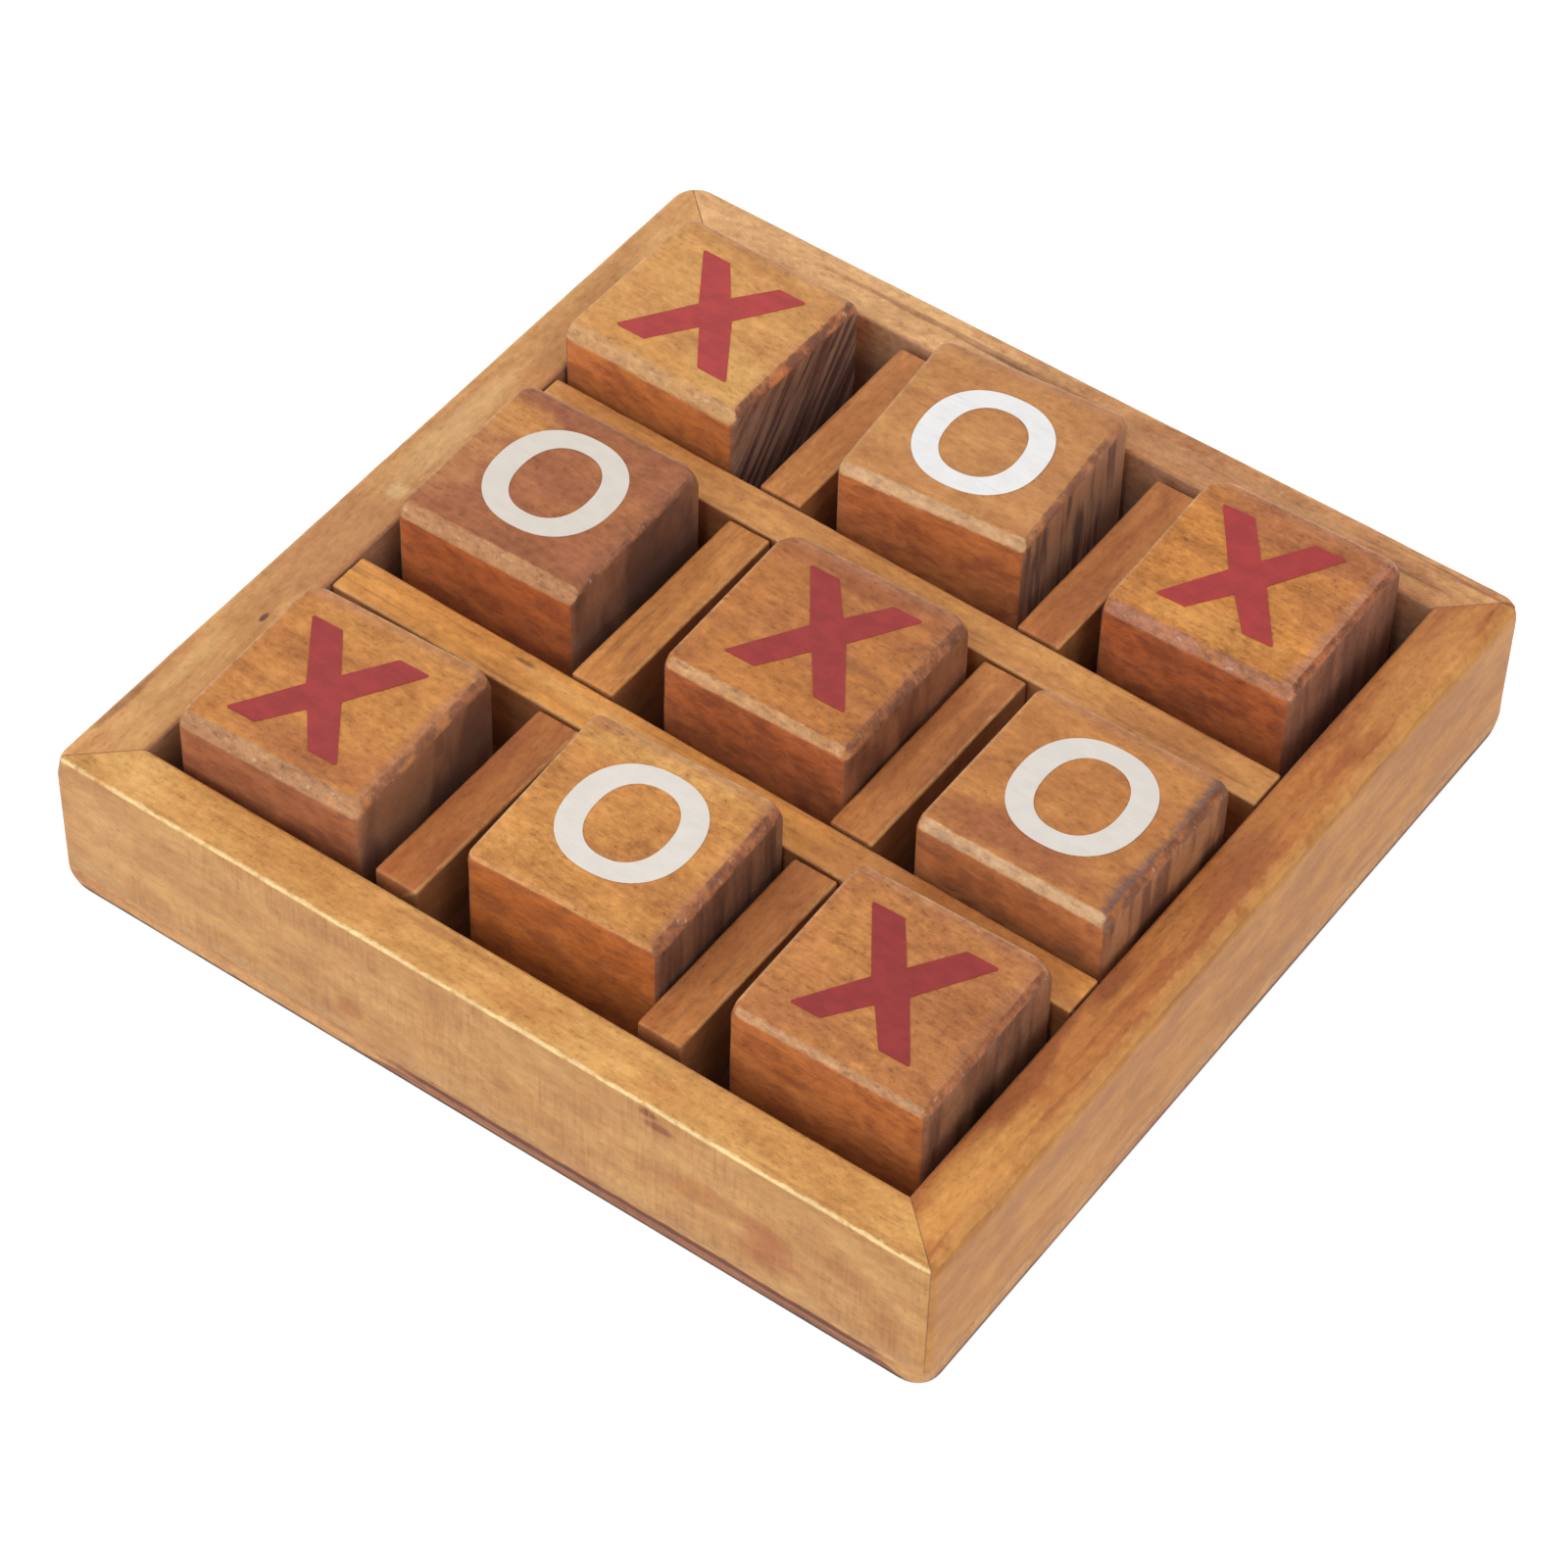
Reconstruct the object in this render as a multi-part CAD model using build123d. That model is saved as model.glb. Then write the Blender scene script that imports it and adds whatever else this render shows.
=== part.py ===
from build123d import *
import os

# Wooden tic tac toe set: a mitred tray with a glued-in grid of dividers and nine loose
# wooden cubes, each with a printed X or O on top.
# Millimetres, +Z up, origin at the centre of the tray's underside.
# The front rail lies towards -Y and the right rail towards +X.

# ---- tray outline
tray_side = 140.7
tray_height = 25.5
base_thickness = 4.0
base_bottom_radius = 1.0
side_rail_width = 9.15
end_rail_width = 8.35

# radius of each upright corner of the tray, as sanded
front_left_corner = 0.6
front_right_corner = 1.6
back_right_corner = 0.8
back_left_corner = 4.0

# radius of the long outer top edge of each rail, and of every inner top edge
front_arris = 0.5
back_arris = 0.8
left_arris = 0.8
right_arris = 2.2
inner_arris = 0.5
joint_line_bevel = 0.1

# ---- dividers
long_divider_width = 6.7
long_divider_gap = 0.3
long_divider_offset = 21.8
long_divider_skew = -0.9
short_divider_width = 7.0
left_column_x = -21.6
right_column_x = 21.3
left_column_lean = -0.0128
end_gap = 0.45
rail_end_gap = 1.8
divider_drop = 0.1
divider_edge_radius = 0.45

# ---- loose cubes
block_size = 29.7
block_edge_radius = 0.8
bevel_rounding_share = 0.6

# ---- printed marks
paint_thickness = 0.08
x_height = 19.6
x_narrow_end = 18.2
x_wide_end = 19.4
x_narrow_stroke = 4.7
x_wide_stroke = 5.0
x_side_notch = 2.9
x_crossing_rise = 0.55
x_narrow_notch = 4.1
x_wide_notch = 3.2
x_corner_radius = 0.25
o_width = 19.1
o_height = 19.8
o_hole_width = 11.4
o_hole_height = 13.7
o_squareness = 2.25
o_points = 40

half_side = tray_side / 2
inner_x = half_side - side_rail_width
inner_y = half_side - end_rail_width
rail_height = tray_height - base_thickness
divider_height = rail_height - divider_drop

# How each cube lies in its cell: name, mark, centre x, centre y, turn in degrees,
# worn front arris, mark offset x and y, mark turn in degrees.
resting_blocks = [
    ("back_left", "x", -45.95, 42.5, -0.9, 1.8, 0.15, -0.05, 0.0),
    ("back_middle", "o", -1.3, 44.8, 4.8, 1.3, 0.1, -0.4, 0.0),
    ("back_right", "x", 42.7, 44.3, 1.6, 1.5, -1.0, 0.8, 181.5),
    ("middle_left", "o", -43.4, 1.7, 1.0, 1.8, 0.15, 1.2, 0.0),
    ("centre", "x", 2.1, 0.7, 1.3, 1.2, 0.6, 1.0, 0.0),
    ("middle_right", "o", 45.2, -2.6, 0.3, 1.2, 0.4, 1.3, 0.0),
    ("front_left", "x", -42.75, -45.2, 1.9, 1.8, -1.35, -0.1, 180.0),
    ("front_middle", "o", 1.8, -41.0, 2.7, 0.6, 0.0, 1.25, 0.0),
    ("front_right", "x", 44.05, -41.7, 1.3, 0.9, -0.15, 0.2, 180.0),
]


def rounded_outline(height, bottom):
    """Upright prism of the tray's outline with its four sanded corners."""
    prism = Pos(0, 0, bottom + height / 2) * Box(tray_side, tray_side, height)
    corners = [
        (-1, -1, front_left_corner),
        (1, -1, front_right_corner),
        (1, 1, back_right_corner),
        (-1, 1, back_left_corner),
    ]
    for side_x, side_y, radius in corners:
        corner_edge = prism.edges().filter_by(Axis.Z).sort_by(
            lambda edge: -(edge.center().X * side_x + edge.center().Y * side_y)
        )[0]
        prism = fillet(corner_edge, radius)
    return prism


def rail_section(width, outer_radius):
    """Cross-section of a rail: outer face at x = 0, inner face at x = width, z up from the base."""
    section = Pos(width / 2, rail_height / 2) * Rectangle(width, rail_height)
    top_outer = section.vertices().sort_by(lambda v: v.X - v.Y)[0]
    section = fillet(top_outer, outer_radius)
    top_inner = section.vertices().sort_by(lambda v: -v.X - v.Y)[0]
    section = fillet(top_inner, inner_arris)
    bottom_outer = section.vertices().sort_by(lambda v: v.X + v.Y)[0]
    return chamfer(bottom_outer, joint_line_bevel)


def mitred_rail(turn, width, side_width, outer_radius, outline):
    """One rail of the tray, built along the front edge and turned to its own side."""
    section = rail_section(width, outer_radius)
    end_plane = Plane(
        origin=(-half_side, -half_side, base_thickness), x_dir=(0, 1, 0), z_dir=(1, 0, 0)
    )
    bar = extrude(end_plane * section, tray_side)
    corners = [
        (-half_side, -half_side),
        (half_side, -half_side),
        (half_side - side_width, width - half_side),
        (side_width - half_side, width - half_side),
    ]
    mitre_shape = make_face(Polyline(*corners, close=True))
    mitre = extrude(mitre_shape, tray_height)
    return (Rot(0, 0, turn) * (bar & mitre)) & outline


def long_divider(offset):
    """Bar that runs from the left rail to the right rail, glued in slightly out of square."""
    length = 2 * (inner_x - long_divider_gap)
    bar = Box(length, long_divider_width, divider_height)
    bar = fillet(bar.edges().group_by(Axis.Z)[-1], divider_edge_radius)
    placed = Pos(0, offset, base_thickness + divider_height / 2) * Rot(0, 0, long_divider_skew)
    return placed * bar


def short_divider(x_position, front_y, back_y):
    """Bar that runs front to back between two neighbours."""
    length = back_y - front_y
    bar = Box(short_divider_width, length, divider_height)
    bar = fillet(bar.edges().group_by(Axis.Z)[-1], divider_edge_radius)
    middle_z = base_thickness + divider_height / 2
    return Pos(x_position, (front_y + back_y) / 2, middle_z) * bar


def block_body(front_bevel):
    """Wooden cube with eased edges and a wider worn bevel along its front top edge."""
    cube = Box(block_size, block_size, block_size)
    edges_along_x = cube.edges().filter_by(Axis.X)
    front_top = edges_along_x.sort_by(lambda edge: edge.center().Y - edge.center().Z)[0]
    cube = chamfer(front_top, front_bevel)
    radius = min(block_edge_radius, front_bevel * bevel_rounding_share)
    return fillet(cube.edges(), radius)


def x_mark():
    """Outline of the letter X with its stroke ends cut level and its crossing above the middle."""
    top = x_height / 2
    narrow_outer = x_narrow_end / 2
    narrow_inner = narrow_outer - x_narrow_stroke
    wide_outer = x_wide_end / 2
    wide_inner = wide_outer - x_wide_stroke
    corners = [
        (-narrow_outer, top),
        (-narrow_inner, top),
        (0, x_narrow_notch),
        (narrow_inner, top),
        (narrow_outer, top),
        (x_side_notch, x_crossing_rise),
        (wide_outer, -top),
        (wide_inner, -top),
        (0, -x_wide_notch),
        (-wide_inner, -top),
        (-wide_outer, -top),
        (-x_side_notch, x_crossing_rise),
    ]
    face = make_face(Polyline(*corners, close=True))
    along_y = face.vertices().group_by(Axis.Y)
    stroke_ends = along_y[0] + along_y[-1]
    return fillet(stroke_ends, x_corner_radius)


def rounded_oval(width, height):
    """Closed oval slightly squarer than an ellipse."""
    points = []
    for step in range(o_points):
        angle = 360.0 * step / o_points
        direction = Vector(1, 0).rotate(Axis.Z, angle)
        spread = abs(direction.X) ** o_squareness + abs(direction.Y) ** o_squareness
        reach = spread ** (-1 / o_squareness)
        points.append((direction.X * reach * width / 2, direction.Y * reach * height / 2))
    return make_face(Spline(*points, periodic=True))


def o_mark():
    """Ring with heavier sides than top and bottom."""
    return rounded_oval(o_width, o_height) - rounded_oval(o_hole_width, o_hole_height)


parts = {}

# ---- base board under the whole tray
base = rounded_outline(base_thickness, 0)
base = fillet(base.edges().group_by(Axis.Z)[0], base_bottom_radius)
parts["base_board"] = chamfer(base.edges().group_by(Axis.Z)[-1], joint_line_bevel)

# ---- four mitred rails
rail_outline = rounded_outline(rail_height, base_thickness)
parts["front_rail"] = mitred_rail(0, end_rail_width, side_rail_width, front_arris, rail_outline)
parts["right_rail"] = mitred_rail(90, side_rail_width, end_rail_width, right_arris, rail_outline)
parts["back_rail"] = mitred_rail(180, end_rail_width, side_rail_width, back_arris, rail_outline)
parts["left_rail"] = mitred_rail(270, side_rail_width, end_rail_width, left_arris, rail_outline)

# ---- two long dividers
parts["front_long_divider"] = long_divider(-long_divider_offset)
parts["rear_long_divider"] = long_divider(long_divider_offset)

# ---- six short dividers, cut to fit the slightly skewed long ones
skew_rise = Vector(1, 0).rotate(Axis.Z, long_divider_skew).Y
near_side = long_divider_offset - long_divider_width / 2 - end_gap
far_side = long_divider_offset + long_divider_width / 2 + end_gap
rail_side = inner_y - rail_end_gap
rows = [
    ("front", -rail_side, -far_side, 0, 1),
    ("middle", -near_side, near_side, 1, 1),
    ("rear", far_side, rail_side, 1, 0),
]
columns = [
    ("left", left_column_x, left_column_lean),
    ("right", right_column_x, 0.0),
]
for row_name, front_y, back_y, front_follows, back_follows in rows:
    for column_name, column_x, lean in columns:
        x_position = column_x + lean * (front_y + back_y) / 2
        rise = skew_rise * x_position
        front_end = front_y + front_follows * rise
        back_end = back_y + back_follows * rise
        node = row_name + "_" + column_name + "_divider"
        parts[node] = short_divider(x_position, front_end, back_end)

# ---- nine cubes and the paint of their marks
mark_faces = {"x": x_mark(), "o": o_mark()}
for name, mark, centre_x, centre_y, turn, front_bevel, mark_x, mark_y, mark_turn in resting_blocks:
    place = Pos(centre_x, centre_y, base_thickness) * Rot(0, 0, turn)
    parts[name + "_block"] = place * Pos(0, 0, block_size / 2) * block_body(front_bevel)
    mark_place = place * Pos(mark_x, mark_y, block_size) * Rot(0, 0, mark_turn)
    parts[name + "_" + mark + "_mark"] = mark_place * extrude(mark_faces[mark], paint_thickness)

os.makedirs("parts", exist_ok=True)
for node, solid in parts.items():
    solid.label = node
    export_step(solid, "parts/" + node + ".step")
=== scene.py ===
import math
from types import SimpleNamespace

import bpy
import numpy as np
from mathutils import Matrix, Vector


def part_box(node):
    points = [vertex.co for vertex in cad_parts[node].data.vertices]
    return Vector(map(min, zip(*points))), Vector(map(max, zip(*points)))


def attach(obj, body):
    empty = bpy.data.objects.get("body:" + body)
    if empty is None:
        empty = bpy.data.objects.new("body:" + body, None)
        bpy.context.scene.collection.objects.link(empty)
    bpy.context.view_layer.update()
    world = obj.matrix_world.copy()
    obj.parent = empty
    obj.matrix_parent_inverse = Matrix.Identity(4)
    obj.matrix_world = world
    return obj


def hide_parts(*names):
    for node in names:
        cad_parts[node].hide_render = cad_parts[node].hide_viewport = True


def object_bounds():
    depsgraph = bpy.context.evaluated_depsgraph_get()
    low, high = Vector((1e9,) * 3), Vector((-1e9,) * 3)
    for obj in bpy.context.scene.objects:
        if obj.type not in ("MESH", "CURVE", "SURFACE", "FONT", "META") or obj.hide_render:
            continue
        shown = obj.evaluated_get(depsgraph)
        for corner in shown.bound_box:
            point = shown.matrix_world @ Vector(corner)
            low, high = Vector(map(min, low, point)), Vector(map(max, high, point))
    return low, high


# Wooden tic tac toe set. Lengths are millimetres, except where a comment says metres.
# The tray's pieces and the cubes are rebuilt as sanded, worn wood over their CAD solids;
# the printed marks are the CAD solids themselves.

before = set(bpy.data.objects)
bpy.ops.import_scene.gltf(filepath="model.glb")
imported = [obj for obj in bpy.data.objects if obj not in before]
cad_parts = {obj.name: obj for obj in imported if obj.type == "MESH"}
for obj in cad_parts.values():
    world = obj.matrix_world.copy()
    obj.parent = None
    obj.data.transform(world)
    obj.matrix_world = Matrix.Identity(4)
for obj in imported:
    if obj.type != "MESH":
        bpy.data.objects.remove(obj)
cad_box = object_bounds()

MM = 0.001
TRAY_SIDE = (cad_box[1][0] - cad_box[0][0]) / MM
HALF_SIDE = TRAY_SIDE / 2
# how much of an edge's radius its flat 45 degree cut takes off
ARC_SHARE = 2 - math.sqrt(2)
# the four upright corners, by their side in x and y
CORNER_SIDES = [(-1, -1), (1, -1), (1, 1), (-1, 1)]
# width of the bevel where a rail meets the base board
JOINT_BEVEL = 0.01


# ---- numbers and noise

def box_mm(node):
    """Lowest and highest corners of a CAD node, in millimetres."""
    low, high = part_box(node)
    return np.array(low, float) / MM, np.array(high, float) / MM


HASH_PRIMES = (73856093, 19349663, 83492791)
SEED_PRIME = 265443576
MIXING_PRIME = 1274126177


def lattice_noise(points, cell, seed):
    """Smooth value noise from -1 to 1 at an (n, 3) array of points."""
    scaled = points / np.array(cell, float)
    base = np.floor(scaled).astype(np.int64)
    part = scaled - base
    part = part * part * (3 - 2 * part)
    total = np.zeros(len(points))
    for corner in range(8):
        step = np.array([corner & 1, corner >> 1 & 1, corner >> 2 & 1])
        at = base + step
        hashed = at * HASH_PRIMES
        mixed = hashed[:, 0] ^ hashed[:, 1] ^ hashed[:, 2] ^ (seed * SEED_PRIME)
        mixed = (mixed ^ (mixed >> 13)) * MIXING_PRIME
        value = ((mixed ^ (mixed >> 16)) & 0xFFFF) / 32767.5 - 1
        total += value * np.prod(np.where(step, part, 1 - part), axis=1)
    return total


def placed(points, centre, turn):
    """Points turned about Z and moved to a centre."""
    cos_turn = math.cos(math.radians(turn))
    sin_turn = math.sin(math.radians(turn))
    moved = np.empty_like(points)
    moved[:, 0] = points[:, 0] * cos_turn - points[:, 1] * sin_turn + centre[0]
    moved[:, 1] = points[:, 0] * sin_turn + points[:, 1] * cos_turn + centre[1]
    moved[:, 2] = points[:, 2] + centre[2]
    return moved


def lie_of(node):
    """Centre, half sizes and turn in degrees of a box-shaped CAD node, read from its own mesh."""
    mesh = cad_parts[node].data
    points = np.array([v.co[:] for v in mesh.vertices]) / MM
    weights = {}
    for polygon in mesh.polygons:
        upright = abs(polygon.normal.z) < 0.1
        if upright:
            angle = math.degrees(math.atan2(polygon.normal.y, polygon.normal.x))
            folded = round((angle + 45) % 90 - 45, 1)
            weights[folded] = weights.get(folded, 0) + polygon.area
    turn = max(weights, key=weights.get)
    square = placed(points, (0, 0, 0), -turn)
    low, high = square.min(axis=0), square.max(axis=0)
    centre = placed((low + high)[None, :] / 2, (0, 0, 0), turn)[0]
    return centre, (high - low) / 2, turn


# ---- meshes

def mesh_piece(name, points, faces, body, node, crease=38):
    """Object from points in millimetres; it stands for a CAD node and rides on its body."""
    mesh = bpy.data.meshes.new(name)
    mesh.from_pydata((points * MM).tolist(), [], faces)
    mesh.update()
    mesh.polygons.foreach_set("use_smooth", [True] * len(mesh.polygons))
    mesh.set_sharp_from_angle(angle=math.radians(crease))
    piece = bpy.data.objects.new(name, mesh)
    bpy.context.scene.collection.objects.link(piece)
    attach(piece, body)
    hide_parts(node)
    return piece


# how far a sanded box's flat sides, upright edges and knocked corners wander
SIDE_RIPPLE = 0.03
UPRIGHT_RIPPLE = 0.03
KNOCK_RIPPLE = 0.08
# directions of the extra cuts that round an upright edge and a knocked corner, for the one
# towards +X, +Y and +Z
STEEP, FLAT = math.cos(math.radians(22.5)), math.sin(math.radians(22.5))
UPRIGHT_LEANS = [(STEEP, FLAT, 0), (FLAT, STEEP, 0)]
KNOCK_LEANS = [(1, 1, 1), (2, 1, 1), (1, 2, 1), (1, 1, 2), (2, 2, 1), (2, 1, 2), (1, 2, 2)]
# steps in which a sanded surface is found along a ray
HALVINGS = 22


def stations(half, margin, rim_steps, spacing):
    """Grid lines along one side of a box, closer together near its two ends."""
    core = half - margin
    angles = np.linspace(math.pi / 4, 0, rim_steps + 1)[:-1]
    rim = core + margin * np.tan(angles)
    inner_count = max(2, int(round(2 * core / spacing)))
    inner = np.linspace(-core, core, inner_count + 1)
    return np.concatenate([-rim, inner, rim[::-1]])


def box_grid(half, margin, rim_steps, spacing):
    """Points on a box's surface and the outward-facing squares that join them."""
    lines = [stations(h, margin, rim_steps, s) for h, s in zip(half, spacing)]
    all_points = []
    all_faces = []
    start = 0
    for axis in range(3):
        u, v = (axis + 1) % 3, (axis + 2) % 3
        for side in (-1, 1):
            nu, nv = len(lines[u]), len(lines[v])
            grid_u, grid_v = np.meshgrid(lines[u], lines[v], indexing="ij")
            points = np.zeros((nu * nv, 3))
            points[:, u] = grid_u.ravel()
            points[:, v] = grid_v.ravel()
            points[:, axis] = side * half[axis]
            index = np.arange(nu * nv).reshape(nu, nv) + start
            corners = [index[:-1, :-1], index[1:, :-1], index[1:, 1:], index[:-1, 1:]]
            quads = np.stack(corners, axis=-1).reshape(-1, 4)
            if side < 0:
                quads = quads[:, ::-1]
            all_points.append(points)
            all_faces.append(quads)
            start += nu * nv
    points = np.concatenate(all_points)
    faces = np.concatenate(all_faces)
    # the sides share the points along their edges
    keys = np.round(points * 1e4).astype(np.int64)
    _, first, back = np.unique(keys, axis=0, return_index=True, return_inverse=True)
    return points[first], back.reshape(-1)[faces]


def cutting_planes(half, cuts, uprights, knocks, ragged, corner_extra, start, seed):
    """Normals of the flat cuts that shape a sanded box, and their offsets at each point."""
    wide = lattice_noise(start, (5.0, 5.0, 5.0), seed)
    fine = lattice_noise(start, (1.3, 1.3, 1.3), seed + 1)
    undulation = SIDE_RIPPLE * lattice_noise(start, (9.0, 7.0, 7.0), seed + 2)
    planes = []
    for cell in np.ndindex(3, 3, 3):
        sign = tuple(step - 1 for step in cell)
        sides = np.count_nonzero(sign)
        if sides == 0:
            continue
        offset = np.abs(sign) @ half
        if sides == 1:
            offset = offset + undulation - SIDE_RIPPLE
        elif sides == 2:
            cut = cuts.get(sign, cuts["rest"]) if sign[2] else ARC_SHARE * uprights[sign[:2]]
            offset = offset - cut * (1 + ragged * (0.6 * wide + 0.4 * fine))
        else:
            beside = cuts.get((0, *sign[1:]), cuts["rest"]) + cuts.get((sign[0], 0, sign[2]), cuts["rest"])
            cut = ARC_SHARE * uprights[sign[:2]] + beside / 2 + corner_extra
            offset = offset - cut * (1 + 0.2 * wide)
        planes.append((np.array(sign) / math.sqrt(sides), offset / math.sqrt(sides)))
    rounded = ((uprights, UPRIGHT_LEANS, UPRIGHT_RIPPLE), (knocks, KNOCK_LEANS, KNOCK_RIPPLE))
    for radii, leans, ripple in rounded:
        for (side_x, side_y), radius in radii.items():
            for lean in leans:
                lean = np.array(lean) / np.linalg.norm(lean)
                offset = lean @ (half - radius) + radius - ripple * (1 + wide)
                planes.append((lean * (side_x, side_y, 1), offset))
    normals = np.array([normal for normal, _ in planes])
    offsets = np.array([np.broadcast_to(offset, (len(start),)) for _, offset in planes])
    return normals, offsets


def sanded_box(half, cuts, uprights, knocks, rounding, margin, rim_steps, spacing, seed, ragged,
               corner_extra=0.45):
    """Box whose edges are sanded back unevenly.

    cuts gives the width sanded off an edge by the two sides that meet there, such as
    (0, -1, 1) for the front top edge; every other edge loses cuts["rest"]. uprights gives
    the radius of each upright edge by its side in x and y. knocks gives the radius of a
    worn, ball-shaped top corner in the same way. Each point of a box's grid is moved along
    a ray from its inner box until it meets the cuts, whose meeting is softened by rounding.
    """
    half = np.array(half, float)
    start, faces = box_grid(half, margin, rim_steps, spacing)
    inner = np.clip(start, -(half - margin), half - margin)
    ray = start - inner
    normals, offsets = cutting_planes(half, cuts, uprights, knocks, ragged, corner_extra, start, seed)
    low = np.zeros(len(start))
    high = np.ones(len(start))
    for _ in range(HALVINGS):
        middle = (low + high) / 2
        at = inner + ray * middle[:, None]
        depth = normals @ at.T - offsets
        peak = depth.max(axis=0)
        field = peak + rounding * np.log(np.exp((depth - peak) / rounding).sum(axis=0))
        outside = field > 0
        high = np.where(outside, middle, high)
        low = np.where(outside, low, middle)
    return inner + ray * low[:, None], faces


def rail_profile(width, tall, inner_arris):
    """Outline of a rail's cross-section, from the foot of its outer face up and over.

    Each row holds the distance inward, the share of the outer arris that is added to it,
    and the same two for the height.
    """
    turns = np.linspace(0, math.pi / 2, 9)
    steps = np.linspace(0, 1, 9)[1:-1]
    profile = [(JOINT_BEVEL, 0, 0, 0), (0, 0, JOINT_BEVEL, 0)]
    for share in steps:
        profile.append((0, 0, JOINT_BEVEL + (tall - JOINT_BEVEL) * share, -share))
    for angle in turns:
        profile.append((0, 1 - math.cos(angle), tall, math.sin(angle) - 1))
    for share in steps:
        profile.append(((width - inner_arris) * share, 1 - share, tall, 0))
    for angle in turns[::2]:
        inward = width - inner_arris * (1 - math.sin(angle))
        profile.append((inward, 0, tall - inner_arris * (1 - math.cos(angle)), 0))
    for share in np.linspace(0, 1, 6)[1:]:
        profile.append((width, 0, (tall - inner_arris) * (1 - share), 0))
    return np.array(profile)


def rail_points(width, neighbour, low, high, arris, inner_arris, radii, top_wear, seed, wobble, chips):
    """Mitred rail along the front edge, outer face towards -Y, with a worn outer arris.

    radii are the tray's corner radii at the rail's left and right ends, and top_wear is what
    is added to them at the top. chips lists the bruises on the outer arris, each as its place
    along the rail, its half length and its extra depth.
    """
    profile = rail_profile(width, high - low, inner_arris)
    # the stations along the rail stand closer together near its ends
    dense = 6
    near_ends = np.linspace(0, dense, 17) / TRAY_SIDE
    between = np.linspace(dense, TRAY_SIDE - dense, 257)[1:-1] / TRAY_SIDE
    along = np.concatenate([near_ends, between, 1 - near_ends[::-1]])
    middle = (along - 0.5) * TRAY_SIDE
    probe = np.stack([middle, np.zeros_like(middle), np.zeros_like(middle)], axis=1)
    radius = arris * (1 + wobble * lattice_noise(probe, (4.2, 1, 1), seed))
    radius = radius + arris * wobble * 0.6 * lattice_noise(probe, (1.4, 1, 1), seed + 1)
    for place, half_length, depth in chips:
        radius = radius + depth * np.exp(-(((middle - place) / half_length) ** 2))

    inward = profile[None, :, 0] + profile[None, :, 1] * radius[:, None]
    z = low + profile[None, :, 2] + profile[None, :, 3] * radius[:, None]
    reach = HALF_SIDE - inward * neighbour / width
    x = (2 * along[:, None] - 1) * reach
    y = inward - HALF_SIDE
    places = np.stack([x.ravel(), y.ravel(), z.ravel()], axis=1)
    depth = 0.05
    sag = depth * lattice_noise(places, (14, 7, 7), seed + 2).reshape(x.shape) - depth
    on_outer_face = (profile[None, :, 0] < 2 * JOINT_BEVEL) & (inward < width - 0.1)
    y = y - sag * on_outer_face * (z > low + 1)
    wear_height = 4.0
    near_top = np.clip((z - high + wear_height) / wear_height, 0, 1) ** 2
    for side, corner, wear in ((-1, radii[0], top_wear[0]), (1, radii[1], top_wear[1])):
        centre = HALF_SIDE - corner - wear * near_top
        from_x = side * x - centre
        from_y = -y - centre
        square = np.maximum(from_x, from_y)
        inside = (from_x > 0) & (from_y > 0)
        distance = np.hypot(from_x, from_y) + 1e-9
        scale = np.where(inside, square / distance, 1)
        x = np.where(inside, side * (centre + from_x * scale), x)
        y = np.where(inside, -(centre + from_y * scale), y)
    count_along, count_round = x.shape
    points = np.stack([x.ravel(), y.ravel(), z.ravel()], axis=1)
    index = np.arange(count_along * count_round).reshape(count_along, count_round)
    following = np.roll(index, -1, axis=1)
    quads = np.stack([index[:-1], index[1:], following[1:], following[:-1]], axis=-1).reshape(-1, 4)
    faces = quads.tolist() + [index[0].tolist(), index[-1][::-1].tolist()]
    return points, faces


def rounded_ring(half, radii, arc_steps, side_steps):
    """Points round a square with four corner radii, front left corner first."""
    arcs = []
    for (side_x, side_y), start, radius in zip(CORNER_SIDES, (180, 270, 0, 90), radii):
        centre = np.array([side_x * (half - radius), side_y * (half - radius)])
        angles = np.radians(np.linspace(start, start + 90, arc_steps + 1))
        arcs.append(centre + radius * np.stack([np.cos(angles), np.sin(angles)], axis=1))
    ring = []
    for here, following in zip(arcs, arcs[1:] + arcs[:1]):
        ring.append(here)
        shares = np.linspace(0, 1, side_steps + 1)[1:-1, None]
        ring.append(here[-1] * (1 - shares) + following[0] * shares)
    return np.concatenate(ring)


def base_points(low, high, radii, bottom_radius, corner_radius):
    """Base board whose lower edge is rounded, and rounded more at its four corners."""
    corner_rise = 3.8
    levels = []
    for angle in np.linspace(math.pi / 2, 0, 7):
        rise = bottom_radius * (1 - math.sin(angle))
        levels.append((low + rise, bottom_radius * (1 - math.cos(angle))))
    for share in np.linspace(0, 1, 7)[1:]:
        level = low + bottom_radius + (high - JOINT_BEVEL - low - bottom_radius) * share
        levels.append((level, 0.0))
    levels.append((high, JOINT_BEVEL))
    rings = []
    for level, inset in levels:
        climb = min(1.0, (level - low) / corner_rise)
        extra = 1 - math.sqrt(1 - (1 - climb) ** 2)
        ring_radii = [max(0.3, radius + (corner_radius - radius) * extra - inset) for radius in radii]
        flat = rounded_ring(HALF_SIDE - inset, ring_radii, 8, 60)
        rings.append(np.column_stack([flat, np.full(len(flat), level)]))
    points = np.concatenate(rings)
    around = len(rings[0])
    index = np.arange(len(rings) * around).reshape(len(rings), around)
    following = np.roll(index, -1, axis=1)
    quads = np.stack([index[:-1], following[:-1], following[1:], index[1:]], axis=-1).reshape(-1, 4)
    faces = quads.tolist() + [index[0][::-1].tolist(), index[-1].tolist()]
    return points, faces


# ---- materials

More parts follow.
